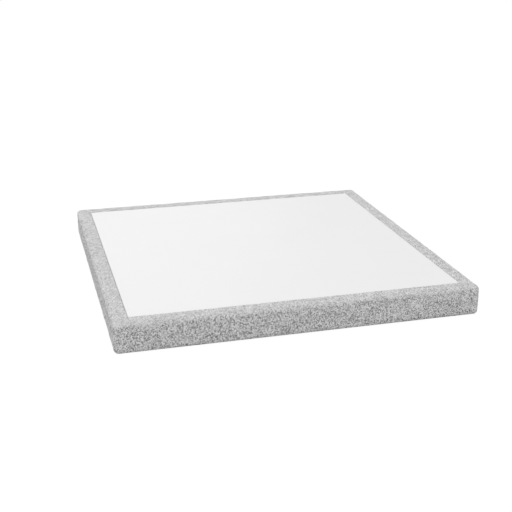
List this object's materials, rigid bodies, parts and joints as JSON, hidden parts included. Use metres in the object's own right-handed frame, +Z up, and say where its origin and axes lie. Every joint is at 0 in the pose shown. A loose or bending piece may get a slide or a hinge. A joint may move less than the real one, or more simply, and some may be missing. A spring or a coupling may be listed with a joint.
{
  "type": "fabric acoustic wall panel",
  "caption": "Square sound-absorbing wall panel: an absorber slab wrapped in grey felt-like fabric with a smooth white board set into one face.",
  "frame": {"origin": "centre of the underside, on the plane that the panel lies on", "axes": "+Z up through the thickness, from the fabric face to the face with the inset board; +X and +Y along the sides"},
  "size_m": [0.6, 0.6, 0.05],
  "materials": {
    "absorber": "matt fibrous white polyester or mineral wool, hidden",
    "grey_fabric": "matt mottled grey felt with light and dark fibres",
    "white_board": "smooth satin white coating"
  },
  "bodies": {
    "root": {"absorber_core": "absorber", "fabric_wrap": "grey_fabric", "inset_board": "white_board"}
  },
  "joints": []
}
